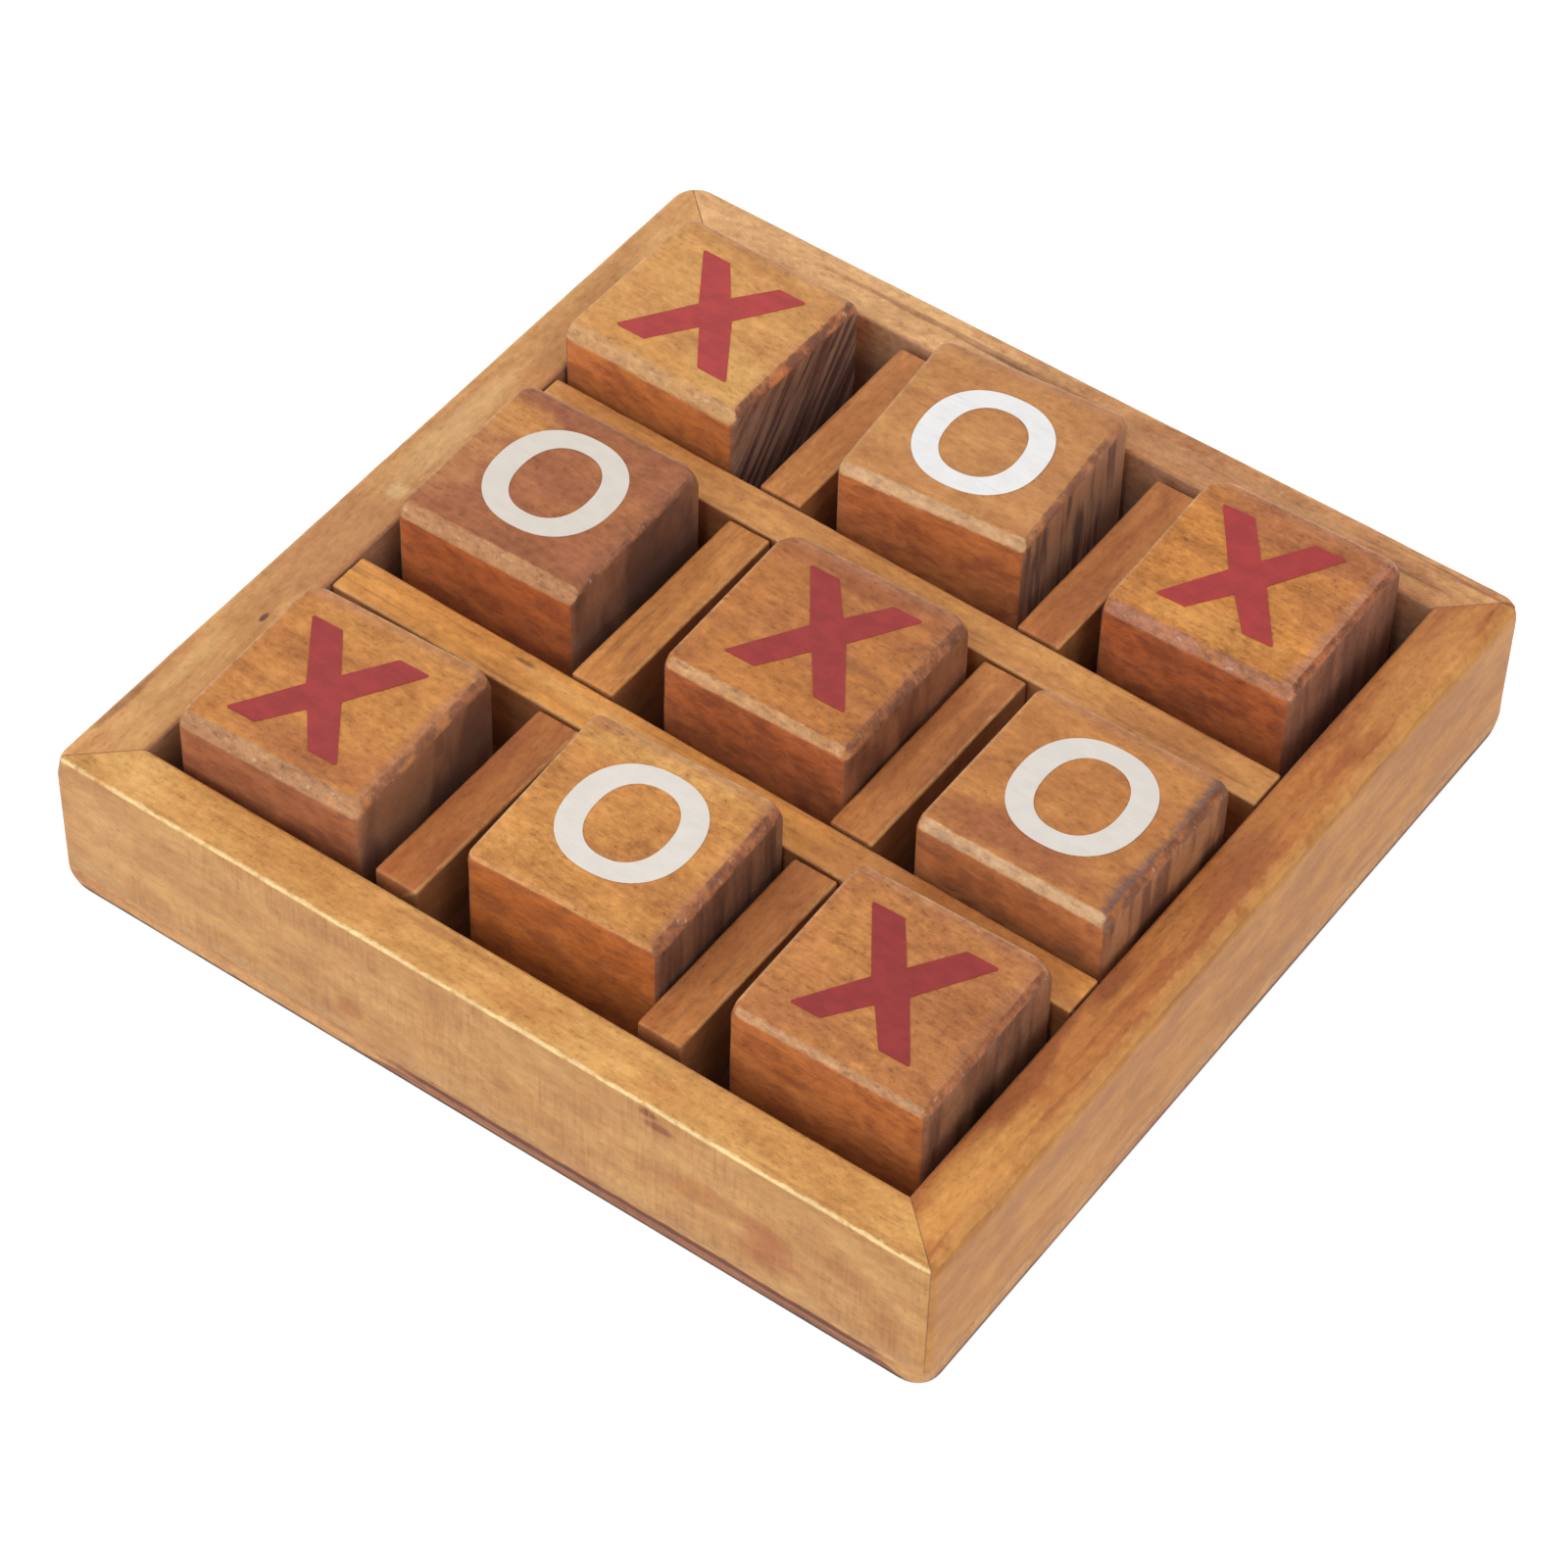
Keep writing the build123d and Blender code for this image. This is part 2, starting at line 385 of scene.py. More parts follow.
def linear(colour):
    """Linear colour of an 8-bit sRGB triple; a socket or a linear colour stays as it is."""
    if not isinstance(colour, tuple) or len(colour) != 3:
        return colour
    shares = [value / 255 for value in colour]
    return (*(c / 12.92 if c <= 0.04045 else ((c + 0.055) / 1.055) ** 2.4 for c in shares), 1.0)


class Shader:
    """One node material under construction, seen from the piece's own frame.

    place is measured from the piece's middle in millimetres, and facing is the normal.
    """

    def __init__(self, name, seed, centre=(0, 0, 0), turn=0):
        self.material = bpy.data.materials.new(name)
        self.material.use_nodes = True
        self.tree = self.material.node_tree
        self.tree.nodes.clear()
        self.output = self.add("ShaderNodeOutputMaterial")
        self.surface = self.add("ShaderNodeBsdfPrincipled")
        self.tree.links.new(self.surface.outputs[0], self.output.inputs["Surface"])
        self.seed = seed
        coordinates = self.add("ShaderNodeTexCoord")
        spin = math.radians(-turn)
        place = self.add("ShaderNodeMapping")
        self.plug(place.inputs["Vector"], coordinates.outputs["Object"])
        place.inputs["Location"].default_value = -(Matrix.Rotation(spin, 3, "Z") @ Vector(centre))
        place.inputs["Rotation"].default_value = (0, 0, spin)
        place.inputs["Scale"].default_value = (1 / MM, 1 / MM, 1 / MM)
        facing = self.add("ShaderNodeMapping")
        facing.vector_type = "VECTOR"
        self.plug(facing.inputs["Vector"], coordinates.outputs["Normal"])
        facing.inputs["Rotation"].default_value = (0, 0, spin)
        self.place = place.outputs[0]
        self.facing = facing.outputs[0]

    def add(self, kind):
        return self.tree.nodes.new(kind)

    def plug(self, socket, value):
        if isinstance(value, bpy.types.NodeSocket):
            self.tree.links.new(value, socket)
        else:
            socket.default_value = value

    def math(self, operation, *values):
        node = self.add("ShaderNodeMath")
        node.operation = operation
        for socket, value in zip(node.inputs, values):
            self.plug(socket, value)
        return node.outputs[0]

    def plus(self, first, second):
        return self.math("ADD", first, second)

    def minus(self, first, second):
        return self.math("SUBTRACT", first, second)

    def absolute(self, value):
        return self.math("ABSOLUTE", value)

    def scaled(self, value, factor, offset):
        """value times factor, plus offset."""
        return self.math("MULTIPLY_ADD", value, factor, offset)

    def product(self, *values):
        result = values[0]
        for value in values[1:]:
            result = self.math("MULTIPLY", result, value)
        return result

    def band(self, value, start, end):
        """0 below start, 1 above end, with a smooth rise; start may be the larger."""
        node = self.add("ShaderNodeMapRange")
        node.interpolation_type = "SMOOTHSTEP"
        flip = start > end
        self.plug(node.inputs["Value"], value)
        node.inputs["From Min"].default_value = min(start, end)
        node.inputs["From Max"].default_value = max(start, end)
        node.inputs["To Min"].default_value = 1.0 if flip else 0.0
        node.inputs["To Max"].default_value = 0.0 if flip else 1.0
        return node.outputs[0]

    def mix(self, share, first, second, blend="MIX"):
        """The first colour at share 0, the second at share 1."""
        node = self.add("ShaderNodeMix")
        node.data_type = "RGBA"
        node.blend_type = blend
        self.plug(node.inputs["Factor"], share)
        self.plug(node.inputs[6], linear(first))
        self.plug(node.inputs[7], linear(second))
        return node.outputs[2]

    def cover(self, colour, over, *shares):
        """A colour with another laid over it, by the product of the shares."""
        return self.mix(self.product(*shares), colour, over)

    def noise(self, cell, draw, detail=2, roughness=0.5, distortion=0.0, where=None):
        """Noise whose features are about cell millimetres long; draw sets it apart from others."""
        shift = self.seed + draw
        stretched = self.add("ShaderNodeMapping")
        self.plug(stretched.inputs["Vector"], where or self.place)
        stretched.inputs["Location"].default_value = (shift, shift * 0.7, shift * 1.3)
        stretched.inputs["Scale"].default_value = tuple(1 / c for c in cell)
        node = self.add("ShaderNodeTexNoise")
        self.plug(node.inputs["Vector"], stretched.outputs[0])
        node.inputs["Scale"].default_value = 1.0
        node.inputs["Detail"].default_value = detail
        node.inputs["Roughness"].default_value = roughness
        node.inputs["Distortion"].default_value = distortion
        return node.outputs["Fac"]

    def swing(self, *settings):
        """Noise that wanders about 0, by up to 0.5 either way."""
        return self.minus(self.noise(*settings), 0.5)

    def turned(self, where, degrees):
        """Coordinates turned a little about Z."""
        node = self.add("ShaderNodeMapping")
        self.plug(node.inputs["Vector"], where)
        node.inputs["Rotation"].default_value = (0, 0, math.radians(degrees))
        return node.outputs[0]

    def split(self, vector):
        node = self.add("ShaderNodeSeparateXYZ")
        self.plug(node.inputs[0], vector)
        return node.outputs[0], node.outputs[1], node.outputs[2]

    def blotched(self, colour, patches, across, up, warp):
        """Colour under blotches with a wandering outline.

        Each patch is its centre and radius across and up, its colour and its share.
        """
        soft = 0.45
        for centre_x, centre_y, radius_x, radius_y, blotch, share in patches:
            x = self.math("DIVIDE", self.minus(across, centre_x), radius_x)
            y = self.math("DIVIDE", self.minus(up, centre_y), radius_y)
            distance = self.math("SQRT", self.plus(self.product(x, x), self.product(y, y)))
            inside = self.band(self.plus(distance, warp), 1 + soft, 1 - soft)
            colour = self.cover(colour, blotch, inside, share)
        return colour

    def finish(self, colour, roughness, height, bump=0.06, specular=0.36):
        """Close the material; bump is the relief's depth in millimetres."""
        self.plug(self.surface.inputs["Base Color"], colour)
        self.plug(self.surface.inputs["Roughness"], roughness)
        self.surface.inputs["Specular IOR Level"].default_value = specular
        relief = self.add("ShaderNodeBump")
        relief.inputs["Strength"].default_value = 1.0
        relief.inputs["Distance"].default_value = bump * MM
        self.plug(relief.inputs["Height"], height)
        self.plug(self.surface.inputs["Normal"], relief.outputs[0])
        return self.material


def grain(s, place, strength):
    """Fine wood figure shared by every piece; the grain runs along local X.

    Returns a brightness factor around 1, a relief height from 0 to 1 and the fibres.
    """
    bands = s.noise((36, 2.6, 2.6), 0, 3, 0.6, 0.3, where=place)
    fibres = s.noise((2.6, 0.7, 0.7), 3, 3, 0.65, where=place)
    flecks = s.noise((1.1, 0.55, 0.55), 7, 2, 0.6, where=place)
    mottle = s.noise((1.8, 1.4, 1.4), 11, 4, 0.7, where=place)
    clouds = s.noise((8, 5, 5), 13, 2, 0.5, where=place)
    dashes = s.band(flecks, 0.56, 0.72)
    pale = s.band(flecks, 0.44, 0.28)
    tone = 1.02
    for noise, contrast in ((bands, 0.36), (fibres, 0.5), (mottle, 0.95), (clouds, 0.6)):
        tone = s.scaled(s.minus(noise, 0.5), contrast * strength, tone)
    tone = s.scaled(dashes, -0.2 * strength, tone)
    tone = s.scaled(pale, 0.15 * strength, tone)
    height = s.scaled(dashes, -0.6, s.product(fibres, 0.8))
    return tone, height, fibres


def tinted(s, colour, tone):
    """Colour times brightness, the darker parts also a little redder."""
    shade = s.add("ShaderNodeCombineColor")
    s.plug(shade.inputs[0], s.math("POWER", tone, 0.8))
    s.plug(shade.inputs[1], tone)
    s.plug(shade.inputs[2], s.math("POWER", tone, 1.25))
    return s.mix(1.0, colour, shade.outputs[0], "MULTIPLY")


def cube_wood(name, centre, turn, half, look):
    """Wood of a cube: a top along the grain, sides, end grain to the right, and worn rims; painted
    highlight and shade lie along the top's edges and painted light low on the sides.
    """
    s = Shader(name, look.seed, centre, turn)
    x, y, z = s.split(s.place)
    nx, _, nz = s.split(s.facing)
    tone, height, fibres = grain(s, s.turned(s.place, look.grain_turn), look.figure)

    slow = s.noise((13, 6, 6), 20, 3, 0.55)
    warp = s.product(s.swing((6, 2.2, 2.2), 23, 4), 1.3)
    top = s.mix(s.band(slow, 0.38, 0.62), look.top_dark, look.top)
    top = s.blotched(top, look.patches, x, y, warp)

    streaks = s.noise((4.5, 4.5, 2.4), 30, 4, 0.6, 0.5)
    side = s.mix(s.band(streaks, 0.30, 0.66), look.side_dark, look.side)
    glow = s.noise((4, 4, 2.2), 33, 3, 0.6)
    side = s.cover(side, look.glow, s.band(glow, 0.56, 0.72), 0.35)

    tilt = math.radians(look.stripe_tilt)
    direction = s.plus(s.product(y, math.cos(tilt)), s.product(z, math.sin(tilt)))
    along_stripe = s.minus(s.product(z, math.cos(tilt)), s.product(y, math.sin(tilt)))
    joined = s.add("ShaderNodeCombineXYZ")
    s.plug(joined.inputs[0], x)
    s.plug(joined.inputs[1], direction)
    s.plug(joined.inputs[2], along_stripe)
    rings = s.noise((40, look.stripe_gap, 22), 40, 3, 0.55, where=joined.outputs[0])
    ring_share = s.band(rings, *look.stripe_range)
    end = s.mix(ring_share, look.end_dark, look.end)
    pores = s.noise((0.5, 0.5, 0.5), 44, 2)

    up = s.band(nz, 0.42, 0.6)
    out = s.band(s.absolute(nx), 0.35, 0.6)
    colour = s.mix(out, side, end)
    colour = s.cover(colour, top, up)
    calm = s.scaled(up, 1 - look.side_figure, look.side_figure)
    tone = s.scaled(s.minus(tone, 1.0), calm, 1.0)
    # Painted light: the sides, and the end faces more so, are lightened from about 3 mm below the top
    # downward, against the shade low in the cells.
    sheltered = s.product(s.band(s.minus(half, z), 3.0, 14.0), s.minus(1.0, up))
    sheltered = s.product(sheltered, s.scaled(out, 0.6, 1.0))
    tone = s.scaled(sheltered, look.sheltered, tone)

    from_front = s.plus(y, half)
    from_back = s.minus(half, y)
    from_right = s.minus(half, x)
    from_left = s.plus(x, half)
    from_top = s.minus(half, z)
    ragged = s.swing((1.8, 1.0, 1.0), 50, 4, 0.7)
    wander = s.swing((9, 9, 9), 51, 1)
    spots = s.noise((1.5, 1.2, 1.2), 55, 3, 0.65)

    # Painted shade: the top turns darker and greyer within about 3 mm of its back edge, where it rounds
    # away from the light.
    painted_back_shade = s.band(s.scaled(ragged, 2.0, from_back), 3.0, 0.8)
    colour = s.cover(colour, look.haze, painted_back_shade, up, look.back_haze)

    # A darker band across the top within about 3 mm of its right edge, its width wandering.
    right_band = s.band(s.scaled(ragged, 2.2, s.scaled(wander, 2.6, from_right)), 2.9, 1.0)
    colour = s.cover(colour, look.right_smear, right_band, up, look.right_haze)

    rim_right = s.scaled(ragged, 0.55, s.plus(from_right, from_top))
    right_share = s.band(rim_right, look.right_rim + 0.38, look.right_rim + 0.08)
    smudge = s.band(s.noise((2.6, 3.2, 2.6), 53, 3, 0.6), 0.38, 0.62)
    right_tone = s.mix(smudge, look.rim_dark, look.rim)
    right_tone = s.cover(right_tone, look.fleck, s.band(spots, 0.62, 0.72), look.fleck_share)
    colour = s.cover(colour, right_tone, right_share)

    # Painted highlight: a thin pale line along the top's left and back edges.
    rim_left = s.scaled(ragged, 0.4, s.plus(from_left, from_top))
    colour = s.cover(colour, look.left_line, s.band(rim_left, 0.85, 0.4), look.left_share)
    rim_back = s.scaled(ragged, 0.4, s.plus(from_back, from_top))
    colour = s.cover(colour, look.left_line, s.band(rim_back, 0.85, 0.4), 0.45)

    # Painted shade: a darker band down the rounded upright edge between the front and right faces.
    upright = s.scaled(ragged, 0.7, s.plus(from_front, from_right))
    colour = s.cover(colour, look.upright, s.band(upright, 1.0, 0.45), look.upright_share)

    rim_front = s.scaled(ragged, look.ragged, s.plus(from_front, from_top))
    rim_front = s.scaled(wander, look.wander, rim_front)
    worn_share = s.band(rim_front, look.worn_width + 0.42, look.worn_width + 0.12)
    grime = s.band(s.noise((2.4, 1.1, 1.1), 57, 3, 0.6), 0.46, 0.7)
    worn = s.mix(s.product(grime, look.grime_share), look.worn, look.grime)
    worn = s.cover(worn, look.fleck, s.band(spots, 0.6, 0.7), look.fleck_share)
    colour = s.cover(colour, worn, worn_share)

    colour = tinted(s, colour, tone)
    rough = s.scaled(fibres, 0.22, 0.36)
    rough = s.scaled(worn_share, 0.12, rough)
    height = s.scaled(s.product(out, s.plus(ring_share, pores)), 0.6, height)
    return s.finish(colour, rough, height)


def bar_wood(name, centre, turn, half, look):
    """Wood of a rail or divider: grain along local X, outer face towards local -Y."""
    s = Shader(name, look.seed, centre, turn)
    x, y, z = s.split(s.place)
    nx = s.split(s.facing)[0]
    tone, height, fibres = grain(s, s.place, look.figure)

    slow = s.noise((22, 4.0, 6), 20, 3, 0.6, 0.4)
    top = s.mix(s.band(slow, 0.38, 0.62), look.top_dark, look.top)
    lines = s.noise((24, look.line_gap, 7), 24, 3, 0.6, 0.5)
    top = s.cover(top, look.line, s.band(lines, 0.56, 0.7), look.line_share)
    warp = s.product(s.swing((7, 2.0, 2.5), 23, 4), 1.3)
    top = s.blotched(top, look.patches, x, y, warp)

    face_slow = s.noise((11, 9, 4), 30, 3, 0.6)
    face = s.mix(s.band(face_slow, 0.36, 0.64), look.face_dark, look.face)
    face = s.blotched(face, look.face_patches, x, z, warp)
    face_lines = s.noise((26, 3, 1.2), 32, 3, 0.6, 0.3)
    face = s.cover(face, look.scratch, s.band(face_lines, 0.55, 0.7), look.face_line_share)
    scratches = s.noise((0.55, 6, 6), 34, 3, 0.6)
    face = s.cover(face, look.scratch, s.band(scratches, 0.48, 0.68), look.scratch_share)
    worked = s.band(s.noise((14, 9, 10), 35, 2), 0.4, 0.6)
    combed = s.product(s.minus(scratches, 0.5), s.scaled(worked, 0.7, 0.3))
    pits = s.noise((1.6, 1.2, 0.9), 36, 2, 0.6)
    face = s.cover(face, look.pit, s.band(pits, 0.68, 0.76), look.pit_share)

    ragged = s.swing((2.0, 0.9, 0.9), 50, 4, 0.7)
    wander = s.swing((11, 11, 11), 51, 3, 0.6)
    from_outer = s.plus(y, half[1])
    from_inner = s.minus(half[1], y)
    from_top = s.minus(half[2], z)

    turnover = s.minus(from_outer, from_top)
    turnover = s.scaled(wander, look.wander, turnover)
    turnover = s.scaled(ragged, 0.6, turnover)
    starts, soft = look.top_starts, look.turn_soft
    up = s.band(turnover, starts - soft, starts + soft)
    out = s.band(s.absolute(nx), 0.6, 0.9)
    colour = s.mix(up, face, top)
    colour = s.cover(colour, look.end, out, look.end_share)
    upright = s.minus(1.0, up)
    calm = s.scaled(upright, look.face_figure - 1, 1.0)
    tone = s.scaled(s.minus(tone, 1.0), calm, 1.0)
    tone = s.scaled(s.product(combed, upright), look.comb_depth, tone)

    # The outer top arris: a pale worn edge, painted brighter as a highlight.
    rim = s.plus(s.absolute(s.minus(turnover, look.rim_place)), ragged)
    broken = s.band(s.noise((6, 9, 9), 52, 3, 0.7), 0.34, 0.5)
    on_rim_highlight = s.band(rim, look.rim_width + 0.3, look.rim_width - 0.15)
    near_edge = s.band(s.plus(from_outer, from_top), 6.0, 3.5)
    colour = s.cover(colour, look.rim, on_rim_highlight, look.rim_share, broken, near_edge)
    inner = s.scaled(ragged, 0.7, s.plus(from_inner, from_top))
    colour = s.cover(colour, look.inner, s.band(inner, 0.8, 0.2), look.inner_share)
    # Painted shade: the inner faces darken from about 3 mm to 11 mm below the top.
    inside = s.band(from_inner, 0.25, 0.1)
    deep = s.mix(s.band(s.scaled(wander, 3.0, from_top), 3.0, 11.0), look.inside, look.deep)
    colour = s.cover(colour, deep, inside, look.inside_share)
    if look.mitre:
        to_end = s.minus(s.scaled(from_outer, -look.mitre, HALF_SIDE), s.absolute(x))
        seam = s.scaled(ragged, 0.2, to_end)
        colour = s.cover(colour, look.mitre_line, s.band(seam, 0.2, 0.04), look.mitre_share)

    colour = tinted(s, colour, tone)
    rough = s.scaled(fibres, 0.22, 0.38)
    height = s.scaled(s.product(scratches, upright), 0.5, height)
    return s.finish(colour, rough, height)


def base_wood(name, look):
    """Wood of the base board: pale like the rails near its top, redder near the bottom."""
    s = Shader(name, look.seed)
    x, _, z = s.split(s.place)
    _, ny, nz = s.split(s.facing)
    tone, height, fibres = grain(s, s.place, 1.0)
    slow = s.noise((30, 30, 2), 20, 3)
    colour = s.mix(s.band(slow, 0.36, 0.64), look.dark, look.light)
    layers = s.noise((50, 50, 0.7), 25, 2)
    colour = s.cover(colour, look.line, s.band(layers, 0.5, 0.6), 0.7)
    ragged = s.swing((4, 4, 0.8), 28, 4, 0.65)
    sway = s.swing((45, 45, 60), 29, 1)
    level = s.scaled(ragged, 0.8, s.scaled(sway, 0.6, z))
    facing_front = s.band(ny, -0.5, -0.8)
    swell = s.product(facing_front, s.band(x, -22.0, -8.0), s.band(x, 68.0, 60.0))
    foot = s.scaled(swell, look.line_rise, s.scaled(facing_front, -0.5, 1.5))
    pale_tone = s.mix(s.band(slow, 0.36, 0.64), look.pale_dark, look.pale)
    colour = s.cover(colour, pale_tone, s.band(s.minus(level, foot), -0.15, 0.3))
    # Painted shade: the foot of the board, where it rounds under, is nearly black.
    edge = s.band(level, look.edge_height + 0.3, look.edge_height - 0.3)
    colour = s.cover(colour, look.edge, edge, look.joint_share)
    upper = s.absolute(s.minus(level, look.upper_height))
    colour = s.cover(colour, look.joint, s.band(upper, 0.7, 0.2), swell, look.joint_share)
    colour = s.cover(colour, look.floor, s.band(nz, 0.5, 0.8))
    colour = tinted(s, colour, tone)
    rough = s.scaled(fibres, 0.2, 0.5)
    return s.finish(colour, rough, height)


def paint(name, centre, seed, tone, shade, through):
    """Printed mark: flat paint that follows the wood's grain a little.

    shade is the brightness of its duller parts, and through the colour of its thin ones.
    """
    s = Shader(name, seed, centre)
    full = linear(tone)
    shaded = (*(value * shade for value in full[:3]), 1.0)
    colour = s.mix(s.band(s.noise((3.5, 2.2, 2.2), 0, 4, 0.65), 0.35, 0.65), shaded, full)
    fibres = s.noise((4, 0.35, 0.35), 5, 3, 0.6)
    colour = s.cover(colour, through, s.band(fibres, 0.55, 0.8), 0.45)
    rough = s.scaled(fibres, 0.25, 0.42)
    return s.finish(colour, rough, fibres, bump=0.03, specular=0.45)


# ---- the cubes

# What every cube shares; each cube below adds its own values or replaces these. worn_width,
# right_rim and back_rim are what is sanded off its top edges, and knocks the radii of its top
# corners. A share says how far one colour covers another.
# Some of these colours paint light and shade: the greyer band at the top's back edge and the darker band
# down the front right upright edge are painted shade, the pale line along the left and back top edges is a
# painted highlight, and the lower sides are lightened as painted light.
CUBE_LOOK = dict(
    grime_share=0.6, haze=(176, 122, 92), back_haze=0.4, glow=(200, 120, 66), side_figure=0.6,
    sheltered=0.28, right_smear=(158, 104, 78), fleck=(240, 214, 176), fleck_share=0.25,
    left_line=(222, 180, 138), left_share=0.35, upright_share=0.5, grain_turn=4, wander=0.2,
    upright=(150, 96, 66), stripe_tilt=0, stripe_range=(0.42, 0.6), back_rim=0.4, ragged=0.7,
)

GOLD = (212, 147, 75)
PALE_GOLD = (221, 167, 95)
RED_BROWN = (170, 100, 60)

# the ten colours of a cube's palette, in this order
PALETTE = (
    "top", "top_dark", "side", "side_dark", "end", "end_dark", "worn", "grime", "rim", "rim_dark",
)

CUBES = {
    "back_left": dict(
        seed=11, worn_width=1.75, stripe_tilt=-38, stripe_gap=1.2, stripe_range=(0.36, 0.68),
        right_rim=1.1, back_rim=1, knocks=(1, 0.8, 0.8, 1.5), figure=1, left_share=0.2, right_haze=0.25,
        palette=[
            (217, 157, 89), (203, 141, 80), (212, 133, 73), (172, 101, 62), (160, 119, 96), (92, 61, 54),
            (201, 151, 98), (159, 115, 80), (198, 119, 70), (126, 77, 54),
        ],
        patches=[(9, -8.5, 6, 4.6, PALE_GOLD, 0.7), (-4, -11, 9, 2.5, GOLD, 0.5)],
    ),
    "back_middle": dict(
        seed=23, worn_width=1.2, stripe_gap=2.6, right_rim=0.85, knocks=(0.8, 0.8, 1, 1.1), figure=0.9,
        stripe_range=(0.36, 0.54), right_haze=0.2,
        palette=[
            (204, 143, 83), (193, 130, 75), (207, 126, 72), (166, 96, 61), (179, 130, 99), (116, 84, 71),
            (211, 166, 121), (168, 128, 98), (185, 120, 74), (138, 86, 61),
        ],
        patches=[(8, -3, 6, 5, (185, 122, 71), 0.5)],
    ),
    "back_right": dict(
        seed=37, worn_width=1.4, stripe_gap=2.4, right_rim=0.75, knocks=(1.2, 0.9, 1.2, 1.7), figure=1.5,
        stripe_range=(0.2, 0.8), right_haze=0.7, right_smear=(176, 120, 96),
        palette=[
            (207, 134, 60), (193, 122, 55), (187, 104, 59), (147, 80, 52), (156, 104, 78), (101, 64, 54),
            (174, 114, 84), (147, 95, 75), (165, 95, 53), (123, 67, 42),
        ],
        patches=[
            (3, 12, 16, 5, RED_BROWN, 0.8), (11, 2, 5, 6, RED_BROWN, 0.45), (-2, -10, 10, 3, GOLD, 0.6),
        ],
    ),
    "middle_left": dict(
        seed=41, worn_width=1.7, stripe_gap=9, stripe_range=(0.45, 0.7), right_rim=0.5,
        knocks=(1.4, 1.2, 1.7, 1.2), haze=(150, 92, 68), figure=1.1, right_haze=0.3,
        right_smear=(120, 74, 58),
        palette=[
            (175, 108, 64), (161, 95, 60), (192, 106, 58), (155, 85, 52), (151, 104, 79), (111, 77, 62),
            (191, 136, 91), (156, 101, 67), (162, 102, 65), (122, 73, 53),
        ],
        patches=[
            (-12, 8, 6, 3.2, (213, 147, 75), 0.85), (-13, 0, 4, 10, (199, 137, 83), 0.5),
            (12, -8, 5, 7, (166, 100, 61), 0.5),
        ],
    ),
    "centre": dict(
        seed=53, worn_width=1.1, stripe_gap=6, right_rim=1.15, knocks=(1, 1, 1.5, 1.7), figure=1.3,
        right_haze=0.35,
        palette=[
            (193, 122, 59), (178, 109, 56), (197, 114, 67), (156, 90, 60), (161, 107, 76), (122, 78, 57),
            (204, 151, 100), (168, 127, 94), (171, 106, 65), (127, 76, 53),
        ],
        patches=[
            (0, 13, 15, 3.5, (157, 89, 53), 0.8), (5, -1, 5, 1.2, (143, 84, 48), 0.6),
            (0, -9, 12, 3, (200, 128, 60), 0.5),
        ],
    ),
    "middle_right": dict(
        seed=61, worn_width=1.1, stripe_gap=4, right_rim=0.95, knocks=(1.1, 1.4, 1.3, 1.1), figure=1,
        right_haze=0.9, right_smear=(112, 80, 74), side_figure=0.7,
        palette=[
            (197, 130, 68), (185, 118, 61), (197, 126, 77), (162, 102, 68), (163, 110, 74), (114, 73, 53),
            (206, 163, 119), (162, 122, 100), (164, 98, 52), (123, 71, 42),
        ],
        patches=[(-2, -10, 12, 3.4, (166, 96, 57), 0.85)],
    ),
    "front_left": dict(
        seed=71, worn_width=1.7, stripe_gap=8, stripe_range=(0.4, 0.6), right_rim=1,
        knocks=(1.4, 1.4, 1.6, 1.4), figure=1.2, right_haze=0.5, side_figure=0.45,
        palette=[
            (203, 134, 67), (187, 118, 60), (164, 101, 66), (140, 82, 55), (155, 107, 78), (118, 79, 61),
            (173, 123, 81), (144, 94, 68), (186, 119, 71), (141, 87, 58),
        ],
        patches=[(2, -10, 11, 3, (175, 104, 57), 0.7), (2, 12, 14, 3, GOLD, 0.5)],
    ),
    "front_middle": dict(
        seed=83, worn_width=0.42, stripe_gap=1.9, right_rim=1.15, knocks=(0.8, 0.9, 1.6, 0.8),
        ragged=0.45, figure=1.35, stripe_range=(0.25, 0.75), right_haze=0.5,
        palette=[
            (206, 139, 70), (192, 126, 63), (184, 104, 48), (151, 84, 45), (145, 102, 77), (96, 64, 53),
            (199, 139, 80), (176, 111, 62), (176, 109, 67), (132, 79, 56),
        ],
        patches=[
            (-2, 12, 13, 3, PALE_GOLD, 0.5), (-8, -9, 6, 5, GOLD, 0.6), (2, 1, 5, 4, (197, 130, 63), 0.4),
        ],
    ),
    "front_right": dict(
        seed=97, worn_width=0.75, stripe_gap=4.4, right_rim=0.8, knocks=(1.2, 1.1, 1.7, 1), ragged=0.6,
        figure=1.4, stripe_range=(0.3, 0.6), right_haze=0.4,
        palette=[
            (196, 128, 67), (181, 112, 61), (187, 111, 58), (156, 88, 49), (143, 96, 69), (91, 59, 44),
            (187, 136, 93), (150, 109, 79), (161, 95, 53), (120, 67, 44),
        ],
        patches=[(10, -2, 6, 10, (173, 105, 58), 0.55), (-9, 3, 5, 5, (205, 137, 69), 0.4)],
    ),
}

SPACING = 0.95
UPRIGHT_RADIUS = 0.8

